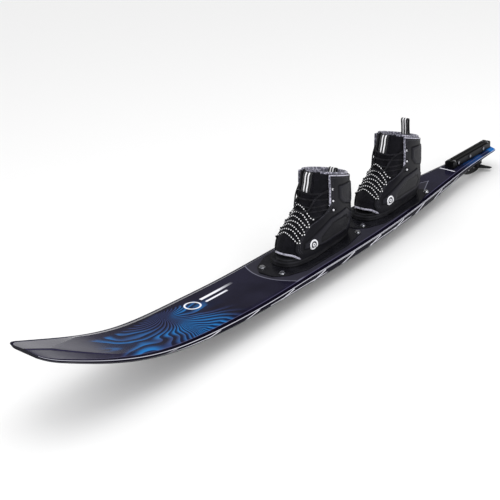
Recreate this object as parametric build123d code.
from build123d import *
import math
import os

# Slalom water ski with two lace-up boots on sliding plates and an adjustable fin.
# Millimetres. +X points at the tip, +Y to the skier's left, +Z up.
# The origin is the centre of the flat running surface on the underside.

os.makedirs("parts", exist_ok=True)

# ---------------------------------------------------------------- driving sizes
# Stations are measured along the ski from its tail.
ski_length = 1700.0
flat_from = 480.0          # flat running surface, first and last station
flat_to = 860.0
deck_from = 380.0          # flat deck that carries both plates
deck_to = 1080.0
deck_height = 22.0         # flat deck above the flat running surface
tail_lift = 14.0           # underside at the tail end
tip_lift = 137.0           # underside at the tip end
tail_half_width = 37.0
mid_half_width = 90.0
widest_half_width = 92.5
tip_half_width = 60.0
tail_corner = 20.0
tip_corner = 32.0
base_skin = 2.5
cap_skin = 2.5
side_wall = 5.0

front_heel = 761.0         # station of the front boot's heel
boot_spacing = 322.0       # rear boot's heel is this far behind
binding_travel = 6.0       # each way, along slotted plate holes

plate_thick = 4.0
plate_nose = 299.0         # ahead of the heel
plate_tail = 16.0          # behind the heel
plate_half_width = 66.0
plate_tail_half_width = 50.0
plate_nose_screw = (277.0, 30.0)
plate_tail_screw = (-3.0, 44.0)
screw_r = 3.0
screw_head_r = 5.5
screw_head_h = 3.2
washer_r = 7.5
washer_h = 1.2
insert_r = 5.0
insert_h = 11.0
hole_clear = 0.3

sole_thick = 12.0
sole_back = -6.0
sole_nose = 253.0
sole_heel_half = 38.0
sole_ball_half = 54.0
footbed_thick = 4.0
shell_wall = 3.0
bootie_wall = 3.6
layer_gap = 0.3
pad_thick = 5.0
tongue_thick = 5.0
throat_half_width = 26.0
tongue_half_width = 24.0
collar_back = 150.0        # above the plate, at the heel
collar_front = 188.0
collar_reach = 128.0       # run of the collar from back to front
lace_d = 3.0
bungee_d = 4.2
webbing_width = 25.0
webbing_thick = 2.0
heel_loop_height = 42.0

fin_thick = 2.0
fin_from = 34.0            # chord of the fin, stations
fin_to = 192.0
fin_depth = 43.0           # below the underside
fin_travel = 5.0
fin_side_gap = 0.1
block_from = 12.0
block_to = 236.0
block_height = 22.0
block_half_width = 14.0
slot_width = 7.0
liner_wall = 1.8
wing_span = 40.0
wing_chord = 26.0
wing_thick = 1.6
wing_swing = 6.0

# ---------------------------------------------------------------- frame
origin_station = (flat_from + flat_to) / 2


def at(station):
    """Station from the tail as an X coordinate."""
    return station - origin_station


# Underside and deck heights by station, and half widths by station.
tail_curve = [(0, tail_lift), (0.5 * flat_from, 0.32 * tail_lift), (flat_from, 0)]
tip_run = ski_length - flat_to
tip_curve = [
    (flat_to, 0),
    (flat_to + 0.29 * tip_run, 0.03 * tip_lift),
    (flat_to + 0.52 * tip_run, 0.10 * tip_lift),
    (flat_to + 0.70 * tip_run, 0.25 * tip_lift),
    (flat_to + 0.88 * tip_run, 0.64 * tip_lift),
    (ski_length, tip_lift),
]
tip_thick = 10.0
tail_thick = 10.0
deck_tail = [(0, tail_lift + tail_thick), (0.5 * deck_from, deck_height + 0.8), (deck_from, deck_height)]
deck_run = ski_length - deck_to
deck_tip = [
    (deck_to, deck_height),
    (deck_to + 0.36 * deck_run, deck_height + 0.07 * tip_lift),
    (deck_to + 0.60 * deck_run, deck_height + 0.20 * tip_lift),
    (deck_to + 0.84 * deck_run, deck_height + 0.575 * tip_lift),
    (ski_length, tip_lift + tip_thick),
]
side_points = [
    (0, 0.90 * tail_half_width),
    (0.10 * ski_length, tail_half_width + 0.5),
    (0.27 * ski_length, 0.75 * mid_half_width),
    (0.43 * ski_length, 0.985 * mid_half_width),
    (0.62 * ski_length, mid_half_width + 1.2),
    (0.735 * ski_length, widest_half_width),
    (0.86 * ski_length, 0.93 * widest_half_width),
    (0.95 * ski_length, 0.83 * widest_half_width),
    (ski_length, tip_half_width),
]


def run_curve(tail, flat, tip, lift):
    """Open curve along the ski: spline, straight, spline, all raised by lift."""
    a = [(at(s), 0, z + lift) for s, z in tail]
    b = [(at(s), 0, z + lift) for s, z in tip]
    rear = Spline(*a, tangents=[(1, 0, -0.03), (1, 0, 0)])
    middle = Line(a[-1], b[0])
    front = Spline(*b, tangents=[(1, 0, 0), (1, 0, 0.5)])
    return [rear, middle, front]


def base_curve(lift):
    return run_curve(tail_curve, flat_to, tip_curve, lift)


def deck_curve(lift):
    return run_curve(deck_tail, deck_to, deck_tip, lift)


def band(low, high, half):
    """Solid between two curves along the ski, from -half to +half in Y."""
    rear = Line(low[0] @ 0, high[0] @ 0)
    front = Line(low[-1] @ 1, high[-1] @ 1)
    face = make_face(Wire(low + [front] + high + [rear]))
    return extrude(face, amount=half, dir=(0, 1, 0), both=True)


def plan_prism(inset):
    """Upright prism of the ski's outline, inset all round."""
    left = [(at(s), w - inset, -80) for s, w in side_points]
    left[0] = (at(inset), left[0][1], -80)
    left[-1] = (at(ski_length - inset), left[-1][1], -80)
    right = [(x, -y, z) for x, y, z in left]
    edges = [
        Spline(*left),
        Line(left[-1], right[-1]),
        Spline(*right),
        Line(left[0], right[0]),
    ]
    prism = extrude(make_face(Wire(edges)), amount=360, dir=(0, 0, 1))
    upright = prism.edges().filter_by(Axis.Z)
    tails = upright.filter_by_position(Axis.X, at(-1), at(100))
    prism = fillet(tails, max(2.0, tail_corner - inset))
    upright = prism.edges().filter_by(Axis.Z)
    tips = upright.filter_by_position(Axis.X, at(ski_length - 100), at(ski_length + 1))
    return fillet(tips, max(2.0, tip_corner - inset))


def rod(centre, radius, z_low, z_high):
    """Upright cylinder."""
    x, y = centre
    return Pos(x, y, (z_low + z_high) / 2) * Cylinder(radius, z_high - z_low)


def cross_rod(x, z, radius, y_low, y_high):
    """Cylinder along Y."""
    return Pos(x, (y_low + y_high) / 2, z) * Rot(90, 0, 0) * Cylinder(radius, y_high - y_low)


def block(x0, x1, y0, y1, z0, z1):
    return Pos((x0 + x1) / 2, (y0 + y1) / 2, (z0 + z1) / 2) * Box(x1 - x0, y1 - y0, z1 - z0)


saved = {}


def save(name, shape):
    """Write one node, as a compound when it is several separate pieces."""
    solids = shape.solids()
    out = solids[0] if len(solids) == 1 else Compound(children=list(solids))
    export_step(out, f"parts/{name}.step")
    saved[name] = out


# ---------------------------------------------------------------- fasteners in the ski
boots = {"front": front_heel, "rear": front_heel - boot_spacing}


def plate_screw_places(heel):
    spots = []
    for along, across in (plate_nose_screw, plate_tail_screw):
        for side in (-1, 1):
            spots.append((at(heel + along), side * across))
    return spots


insert_places = [p for heel in boots.values() for p in plate_screw_places(heel)]
block_bolt_places = [
    (at(block_from + 12), 8.2),
    (at(block_from + 12), -8.2),
    (at(block_to - 14), 8.2),
    (at(block_to - 14), -8.2),
]
block_base = deck_height + 1.0      # the tail deck is faced flat under the fin block
block_insert_h = 6.0

inserts = [rod(p, insert_r, deck_height - insert_h, deck_height) for p in insert_places]
inserts = [i - rod(p, screw_r, 0, deck_height + 1) for i, p in zip(inserts, insert_places)]
block_bolt_r = 2.5
block_inserts = []
for place in block_bolt_places:
    tube = rod(place, 4.0, block_base - block_insert_h, block_base)
    block_inserts.append(tube - rod(place, block_bolt_r, 0, block_base + 1))

# ---------------------------------------------------------------- ski body
fin_slot_from = fin_from - fin_travel - liner_wall - 3
fin_slot_to = fin_to + fin_travel + liner_wall + 3
slot_cut = block(at(fin_slot_from), at(fin_slot_to), -slot_width / 2, slot_width / 2, -60, 120)
facing = block(at(block_from - 30), at(block_to + 2), -block_half_width - 1, block_half_width + 1,
               block_base, block_base + 60)

blank = band(base_curve(0), deck_curve(0), 120) & plan_prism(0)
skin_zone = band(base_curve(-5), base_curve(base_skin), 130)
core_zone = band(base_curve(base_skin), deck_curve(-cap_skin), 130)
lower_skin = (blank & skin_zone) - slot_cut
core_raw = core_zone & plan_prism(side_wall)
core = core_raw - slot_cut
cap = blank - skin_zone - core_raw - slot_cut
cap = cap - facing
for place in insert_places:
    pocket = rod(place, insert_r, deck_height - insert_h, deck_height + 40)
    core = core - pocket
    cap = cap - pocket
for place in block_bolt_places:
    pocket = rod(place, 4.0, block_base - block_insert_h, block_base + 40)
    core = core - pocket
    cap = cap - pocket
save("ski_base_skin", lower_skin)
save("ski_foam_core", core)
save("ski_top_cap", cap)
save("binding_inserts", Compound(children=[i.solid() for i in inserts]))
save("fin_block_inserts", Compound(children=[i.solid() for i in block_inserts]))

slot_outer = block(at(fin_slot_from), at(fin_slot_to), -slot_width / 2, slot_width / 2, -60, block_base)
slot_inner = block(at(fin_slot_from + liner_wall), at(fin_slot_to - liner_wall),
                   -slot_width / 2 + liner_wall, slot_width / 2 - liner_wall, -70, 120)
liner_zone = band(base_curve(0), deck_curve(0), 120)
save("fin_slot_liner", (slot_outer & liner_zone) - slot_inner)

# ---------------------------------------------------------------- fin block
clamp_screw_stations = [block_from + 48, block_from + 128, block_from + 196]
clamp_screw_r = 2.5
clamp_screw_z = block_base + 12.0
clamp_gap = fin_thick / 2 + fin_side_gap


def clamp_half(side):
    y0, y1 = sorted((side * clamp_gap, side * block_half_width))
    bar = block(at(block_from), at(block_to), y0, y1, block_base, block_base + block_height)
    outer_top = bar.edges().filter_by(Axis.X).sort_by(Axis.Z)[-2:]
    outer_top = outer_top.sort_by(lambda e: abs(e.center().Y))[-1:]
    bar = chamfer(outer_top, 3.0)
    for station in clamp_screw_stations:
        bar = bar - cross_rod(at(station), clamp_screw_z, clamp_screw_r, -20, 20)
    for place in block_bolt_places:
        bar = bar - rod(place, block_bolt_r, block_base - 1, block_base + block_height + 1)
        bar = bar - rod(place, 4.6, block_base + block_height - 4, block_base + block_height + 1)
    return bar


save("fin_clamp_left", clamp_half(1))
save("fin_clamp_right", clamp_half(-1))

bolts = []
for place in block_bolt_places:
    shank = rod(place, block_bolt_r, block_base - block_insert_h + 1, block_base + block_height - 4)
    head = rod(place, 4.4, block_base + block_height - 4, block_base + block_height - 0.4)
    bolts.append((shank + head).solid())
save("fin_block_bolts", Compound(children=bolts))

clamp_screws = []
for station in clamp_screw_stations:
    shank = cross_rod(at(station), clamp_screw_z, clamp_screw_r, -block_half_width, block_half_width)
    head = cross_rod(at(station), clamp_screw_z, 4.5, block_half_width, block_half_width + 2.6)
    nut = cross_rod(at(station), clamp_screw_z, 4.5, -block_half_width - 2.6, -block_half_width)
    clamp_screws.append((shank + head + nut).solid())
save("fin_clamp_screws", Compound(children=clamp_screws))

# ---------------------------------------------------------------- fin and wing
fin_low = 9.0 - fin_depth           # the underside is about 9 above datum over the fin
fin_run = fin_to - fin_from
fin_top = block_base + block_height - 5
wing_pivot = (fin_from + 34.0, fin_low + 14.0)
wing_lock = (fin_from + 16.0, fin_low + 14.0)
wing_pin_r = 2.0
blade_edge = [
    (fin_to - 3, 12.0),
    (fin_to - 0.30 * fin_run, fin_low + 0.24 * fin_depth),
    (fin_to - 0.60 * fin_run, fin_low),
    (fin_from + 0.16 * fin_run, fin_low + 0.08 * fin_depth),
    (fin_from + 1.5, 8.0),
]
sweep_edge = Spline(*[(at(s), 0, z) for s, z in blade_edge])
tab_corners = [
    (at(blade_edge[-1][0]), 0, blade_edge[-1][1]),
    (at(blade_edge[-1][0]), 0, fin_top),
    (at(blade_edge[0][0]), 0, fin_top),
    (at(blade_edge[0][0]), 0, blade_edge[0][1]),
]
fin_face = make_face(Wire([sweep_edge] + [Line(a, b) for a, b in zip(tab_corners, tab_corners[1:])]))
fin = extrude(fin_face, amount=fin_thick / 2, dir=(0, 1, 0), both=True)
for station in clamp_screw_stations:
    reach = fin_travel + clamp_screw_r + hole_clear
    high = clamp_screw_z + clamp_screw_r + hole_clear
    low = clamp_screw_z - clamp_screw_r - hole_clear
    fin = fin - block(at(station) - reach, at(station) + reach, -5, 5, low, high)
fin_hole_r = 4.5
for share in (0.34, 0.53, 0.72):
    drop = 0.36 if share < 0.6 else 0.62
    fin = fin - cross_rod(at(fin_from + share * fin_run), fin_low + drop * fin_depth, fin_hole_r, -5, 5)
fin = fin - cross_rod(at(wing_pivot[0]), wing_pivot[1], wing_pin_r + 0.1, -5, 5)
fin = fin - cross_rod(at(wing_lock[0]), wing_lock[1], wing_pin_r + 2.2, -5, 5)
save("fin_blade", fin)


def wing_half(side):
    inner = fin_thick / 2 + fin_side_gap
    ear_out = inner + wing_thick
    ear_y = sorted((side * inner, side * ear_out))
    ear = block(at(wing_lock[0] - 7), at(wing_pivot[0] + 7), ear_y[0], ear_y[1],
                wing_pivot[1] - 5, wing_pivot[1] + 5)
    z0 = wing_pivot[1] - 5
    root_y = side * inner
    tip_y = side * wing_span
    front = wing_pivot[0] + 7
    corners = [
        (at(front), root_y, z0),
        (at(front - 14), tip_y, z0),
        (at(front - 14 - 0.5 * wing_chord), tip_y, z0),
        (at(front - wing_chord - 6), root_y, z0),
    ]
    blade = extrude(make_face(Polyline(*corners, close=True)), amount=wing_thick, dir=(0, 0, 1))
    half = ear + blade
    for pin in (wing_pivot, wing_lock):
        half = half - cross_rod(at(pin[0]), pin[1], wing_pin_r, -60, 60)
    return half.solid() if len(half.solids()) == 1 else half


save("wing_left", wing_half(1))
save("wing_right", wing_half(-1))
pins = []
for pin in (wing_pivot, wing_lock):
    outer = fin_thick / 2 + fin_side_gap + wing_thick
    shank = cross_rod(at(pin[0]), pin[1], wing_pin_r, -outer, outer)
    head = cross_rod(at(pin[0]), pin[1], wing_pin_r + 1.4, outer, outer + 1.5)
    nut = cross_rod(at(pin[0]), pin[1], wing_pin_r + 1.4, -outer - 1.5, -outer)
    pins.append((shank + head + nut).solid())
save("wing_screws", Compound(children=pins))
print("ski and fin saved")

# ---------------------------------------------------------------- boot shape
# Rings of the boot by height above the plate:
# height, back end, front end, half width at the heel, half width at the ball.
rings = [
    (sole_thick, -4, 262, 36, 51),
    (sole_thick + 22, -8, 262, 38, 52),
    (sole_thick + 42, -7, 250, 39, 49),
    (sole_thick + 60, -4, 214, 40, 45),
    (sole_thick + 85, -1, 176, 41, 39),
    (sole_thick + 113, 2, 152, 43, 40),
    (sole_thick + 145, 3, 137, 45, 42),
    (sole_thick + 190, 4, 122, 46, 42),
]


ring_corners = 18


def ring_points(back, front, heel_w, ball_w, z, inset):
    """Closed foot outline: a round heel, wider at the ball, blunt at the toe."""
    middle = (back + front) / 2
    reach = (front - back) / 2 - inset
    points = []
    for i in range(ring_corners):
        turn = 2 * math.pi * (i + 0.5) / ring_corners
        blunt = 0.72
        x = math.copysign(abs(math.cos(turn)) ** blunt, math.cos(turn))
        y = math.copysign(abs(math.sin(turn)) ** blunt, math.sin(turn))
        share = (x + 1) / 2
        width = heel_w + (ball_w - heel_w) * share
        points.append((middle + reach * x, (width - inset) * y, z))
    return points


def last(inset):
    """The boot's solid form in flat facets, inset by a number of millimetres."""
    levels = []
    for z, back, front, heel_w, ball_w in rings:
        levels.append(ring_points(back, front, heel_w, ball_w, z, inset))
    faces = [Face(Wire.make_polygon(levels[0])), Face(Wire.make_polygon(levels[-1]))]
    for low, high in zip(levels, levels[1:]):
        for i in range(ring_corners):
            j = (i + 1) % ring_corners
            faces.append(Face(Wire.make_polygon([low[i], low[j], high[j]])))
            faces.append(Face(Wire.make_polygon([low[i], high[j], high[i]])))
    return Solid(Shell(faces))


def foot_prism(inset, z_low, z_high):
    """Upright prism of the sole's outline."""
    pts = ring_points(sole_back, sole_nose, sole_heel_half, sole_ball_half, z_low, inset)
    return extrude(make_face(Polyline(*pts, close=True)), amount=z_high - z_low, dir=(0, 0, 1))


def collar_cut(drop):
    """Everything above the sloping collar line, lowered by drop."""
    rise = collar_front - collar_back
    z0 = collar_back - drop
    corners = [
        (-60, -90, z0 - 60 * rise / collar_reach),
        (260, -90, z0 + 260 * rise / collar_reach),
        (260, -90, 420),
        (-60, -90, 420),
    ]
    return extrude(make_face(Polyline(*corners, close=True)), amount=180, dir=(0, 1, 0))


toe_lip_low = 214.0
toe_lip_high = 243.0


def toe_cut():
    """Everything ahead of the toe opening's lip."""
    slope = (toe_lip_high - toe_lip_low) / 60.0
    corners = [
        (toe_lip_low - slope * 20, -90, sole_thick - 20),
        (320, -90, sole_thick - 20),
        (320, -90, 140),
        (toe_lip_low + slope * (140 - sole_thick), -90, 140),
    ]
    return extrude(make_face(Polyline(*corners, close=True)), amount=180, dir=(0, 1, 0))


def surface_point(solid, start, direction):
    """First point of the solid met by a ray."""
    hits = solid.find_intersection_points(Axis(start, direction))
    best = min(hits, key=lambda h: (h[0] - Vector(*start)).dot(Vector(*direction)))
    return best[0]


throat_from = 74.0
outer_last = last(0)
bootie_outer = last(shell_wall + layer_gap)
bootie_inner = last(shell_wall + layer_gap + bootie_wall)
lining_outer = last(shell_wall + 2 * layer_gap + bootie_wall)
lining_inner = last(shell_wall + 2 * layer_gap + bootie_wall + pad_thick)
toe_removed = toe_cut()

# moulded outer shell: sides, heel and cuff, open along the throat
shell = outer_last - last(shell_wall)
shell = shell - collar_cut(6) - toe_removed
shell = shell - block(throat_from, 300, -throat_half_width, throat_half_width, sole_thick + 12, 260)

# stretch bootie inside it, closed over the forefoot
bootie_throat = 19.0
bootie_throat_to = 160.0
bootie = bootie_outer - bootie_inner
bootie = bootie - collar_cut(0) - toe_removed
bootie = bootie - block(throat_from, bootie_throat_to, -bootie_throat, bootie_throat, 70, 260)

# padded collar, and the tongue in the same layer
lining = lining_outer - lining_inner
pad_low = sole_thick + 92
collar_pad = lining - collar_cut(-3) - block(-60, 300, -90, 90, -10, pad_low)
collar_pad = collar_pad - block(throat_from - 2, 300, -tongue_half_width - 2, tongue_half_width + 2, 0, 260)
tongue_low = sole_thick + 56
tongue = lining & block(throat_from, 300, -tongue_half_width, tongue_half_width, tongue_low, 260)
tongue = tongue - collar_cut(-10) - block(192, 300, -90, 90, 0, 260)
strap_inset = shell_wall + 2 * layer_gap + bootie_wall
strap_low = sole_thick + 132
strap = last(strap_inset - webbing_thick) - lining_outer
strap = strap & block(throat_from, 300, -webbing_width / 2, webbing_width / 2, strap_low, 260)
strap = strap - collar_cut(-6)

sole = foot_prism(0, 0, sole_thick)
sole = chamfer(sole.faces().sort_by(Axis.Z)[-1].edges(), 1.5)
footbed = foot_prism(shell_wall + bootie_wall + 7.5, sole_thick, sole_thick + footbed_thick)

# plate with slots for its screws
half = [
    (-plate_tail, plate_tail_half_width - 14),
    (-plate_tail + 8, plate_tail_half_width),
    (70, plate_half_width),
    (plate_nose - 70, plate_half_width),
    (plate_nose - 22, plate_half_width - 20),
    (plate_nose, 20),
]
plate_points = [(x, y, 0) for x, y in half] + [(x, -y, 0) for x, y in reversed(half)]
plate = extrude(make_face(Polyline(*plate_points, close=True)), amount=plate_thick, dir=(0, 0, 1))
plate = fillet(plate.edges().filter_by(Axis.Z), 9.0)
plate = chamfer(plate.faces().sort_by(Axis.Z)[-1].edges(), 1.4)
for along, across in (plate_nose_screw, plate_tail_screw):
    for side in (-1, 1):
        reach = binding_travel + hole_clear
        wide = screw_r + hole_clear
        slot = block(along - reach, along + reach, side * across - wide, side * across + wide, -1, 10)
        ends = [rod((along + e * reach, side * across), wide, -1, 10) for e in (-1, 1)]
        plate = plate - slot - ends[0] - ends[1]

# rivets that hold the boot to its plate, under the footbed
rivet_places = [(25, 0), (95, 18), (95, -18), (205, 26), (205, -26)]
rivet_r = 3.0
rivets = []
for place in rivet_places:
    stem = rod(place, rivet_r, 0.4, sole_thick - 1.5)
    cap_disc = rod(place, rivet_r + 3.5, sole_thick - 1.5, sole_thick)
    rivets.append((stem + cap_disc).solid())
    hole = stem + cap_disc + rod(place, rivet_r, -1, 1)
    plate = plate - rod(place, rivet_r, -1, 10)
    sole = sole - rod(place, rivet_r, -1, sole_thick) - cap_disc
plate_drop = plate_thick       # the boot's height datum is the plate's top

# round badge on each side of the shell
badge_at = (177.0, 37.0)
badge_r = 12.0
badges = []
for side in (-1, 1):
    hit = surface_point(outer_last, (badge_at[0], side * 90, badge_at[1]), (0, -side, 0))
    outward = sorted((hit.Y - side * 1.6, hit.Y + side * 1.2))
    disc = cross_rod(badge_at[0], badge_at[1], badge_r, outward[0], outward[1])
    ring = disc - cross_rod(badge_at[0], badge_at[1], badge_r - 3.4, outward[0] - 1, outward[1] + 1)
    shell = shell - disc
    badges.append(ring.solid())

# lace guides on the throat's edges: small posts that the laces turn round
lower_rows = [228.0, 212.0, 197.0, 183.0]
upper_rows = [sole_thick + 103, sole_thick + 119, sole_thick + 135]
guide_y = throat_half_width + 4.5
guide_r = 2.2
guide_stand = 11.0
guide_sink = 0.3
lace_gap = 0.6


def lug(point, normal):
    """Round post moulded into the shell."""
    n = Vector(*normal)
    base = Plane(origin=point - n * guide_sink, z_dir=n)
    return extrude(base * Circle(guide_r), amount=guide_stand, dir=n)


guides = []
for side in (-1, 1):
    for x in lower_rows:
        hit = surface_point(outer_last, (x, side * guide_y, 260), (0, 0, -1))
        guides.append(lug(hit, (0, 0, 1)))
    for z in upper_rows:
        hit = surface_point(outer_last, (300, side * guide_y, z), (-1, 0, 0))
        guides.append(lug(hit, (1, 0, 0)))

# laces run outside the boot's form, one strand that turns round every post
lace_last = last(-7.0)
bungee_last = last(-6.0)


def lace_tube(points, diameter):
    """Round cord along straight runs joined by the largest arcs that they allow."""
    vectors = [Vector(*p) for p in points]
    radii = []
    for a, b, c in zip(vectors, vectors[1:], vectors[2:]):
        turn = math.radians((b - a).get_angle(c - b))
        radii.append(0.45 * min((b - a).length, (c - b).length) / math.tan(turn / 2))
    path = FilletPolyline(*points, radius=radii)
    start = Plane(origin=path @ 0, z_dir=path % 0)
    tube = sweep(start * Circle(diameter / 2), path=path)
    share = tube.volume / (math.pi * diameter ** 2 / 4 * path.length)
    print("cord", round(path.length, 1), "mm, smallest arc", round(min(radii), 1), "volume share", round(share, 3))
    return tube


def over_foot(x, y):
    hit = surface_point(lace_last, (x, y, 260), (0, 0, -1))
    return (hit.X, hit.Y, hit.Z)


def over_ankle(z, y):
    hit = surface_point(bungee_last, (300, y, z), (-1, 0, 0))
    return (hit.X, hit.Y, hit.Z)


def laced(place, rows, diameter):
    """Points of one strand: across at each row, round the post, and back to the next row."""
    reach = guide_r + lace_gap + diameter / 2
    outer = guide_y + reach
    points = []
    for i, row in enumerate(rows):
        step = 1 if rows[-1] > rows[0] else -1
        before = row - step * reach
        after = row + step * reach
        if i > 0:
            points.append(place(before, -outer))
        points.append(place(after, -outer))
        points.append(place(after - 0.5 * step, -12))
        points.append(place(before + 0.5 * step, 13))
        points.append(place(before, outer))
        points.append(place(after, outer))
        if i < len(rows) - 1:
            between = (row + rows[i + 1]) / 2
            points.append(place(between - step, 12))
            points.append(place(between + step, -13))
    return points


lower_lace = lace_tube(laced(over_foot, lower_rows, lace_d), lace_d)
upper_lace = lace_tube(laced(over_ankle, upper_rows, bungee_d), bungee_d)

# pull loop of folded webbing at the back of the collar
loop_depth = 12.0
loop_pivot_x = 25.0
loop_pivot_z = collar_back + loop_pivot_x * (collar_front - collar_back) / collar_reach + 11.0


def heel_loop(angle):
    """Flat loop of webbing, turned forward about its foot by angle degrees."""
    r = loop_depth / 2
    tall = heel_loop_height - r
    outer = block(-r, r, -webbing_width / 2, webbing_width / 2, -r, tall + r)
    outer = chamfer(outer.edges().filter_by(Axis.Y), 0.5 * r)
    gap = r - webbing_thick
    inner = block(-gap, gap, -60, 60, -gap, tall + gap)
    inner = chamfer(inner.edges().filter_by(Axis.Y), 0.35 * gap)
    return Pos(loop_pivot_x, 0, loop_pivot_z) * Rot(0, angle, 0) * (outer - inner)


loop_rest = {"front": 150.0, "rear": 0.0}

# ---------------------------------------------------------------- place both boots
for name, heel in boots.items():
    to_place = Pos(at(heel), 0, deck_height + plate_thick)
    pieces = {
        "plate": Pos(0, 0, -plate_drop) * plate,
        "sole": sole,
        "footbed": footbed,
        "shell": shell,
        "bootie": bootie,
        "collar_pad": collar_pad,
        "tongue": tongue,
        "tongue_strap": strap,
        "badges": Compound(children=badges),
        "lace_guides": Compound(children=[g.solid() for g in guides]),
        "forefoot_lace": lower_lace,
        "ankle_lace": upper_lace,
        "heel_loop": heel_loop(loop_rest[name]),
    }
    for piece_name, shape in pieces.items():
        save(f"{name}_{piece_name}", to_place * shape)
    rivet_group = [(to_place * Pos(0, 0, 0) * r).solid() for r in rivets]
    save(f"{name}_rivets", Compound(children=rivet_group))
    screws = []
    washers = []
    plate_top = deck_height + plate_thick
    for place in plate_screw_places(heel):
        washer = rod(place, washer_r, plate_top, plate_top + washer_h)
        washers.append((washer - rod(place, screw_r, plate_top - 1, plate_top + washer_h + 1)).solid())
        shank = rod(place, screw_r, deck_height - insert_h + 2, plate_top + washer_h)
        head = rod(place, screw_head_r, plate_top + washer_h, plate_top + washer_h + screw_head_h)
        screws.append((shank + head).solid())
    save(f"{name}_plate_screws", Compound(children=screws))
    save(f"{name}_plate_washers", Compound(children=washers))

print(len(saved), "nodes")
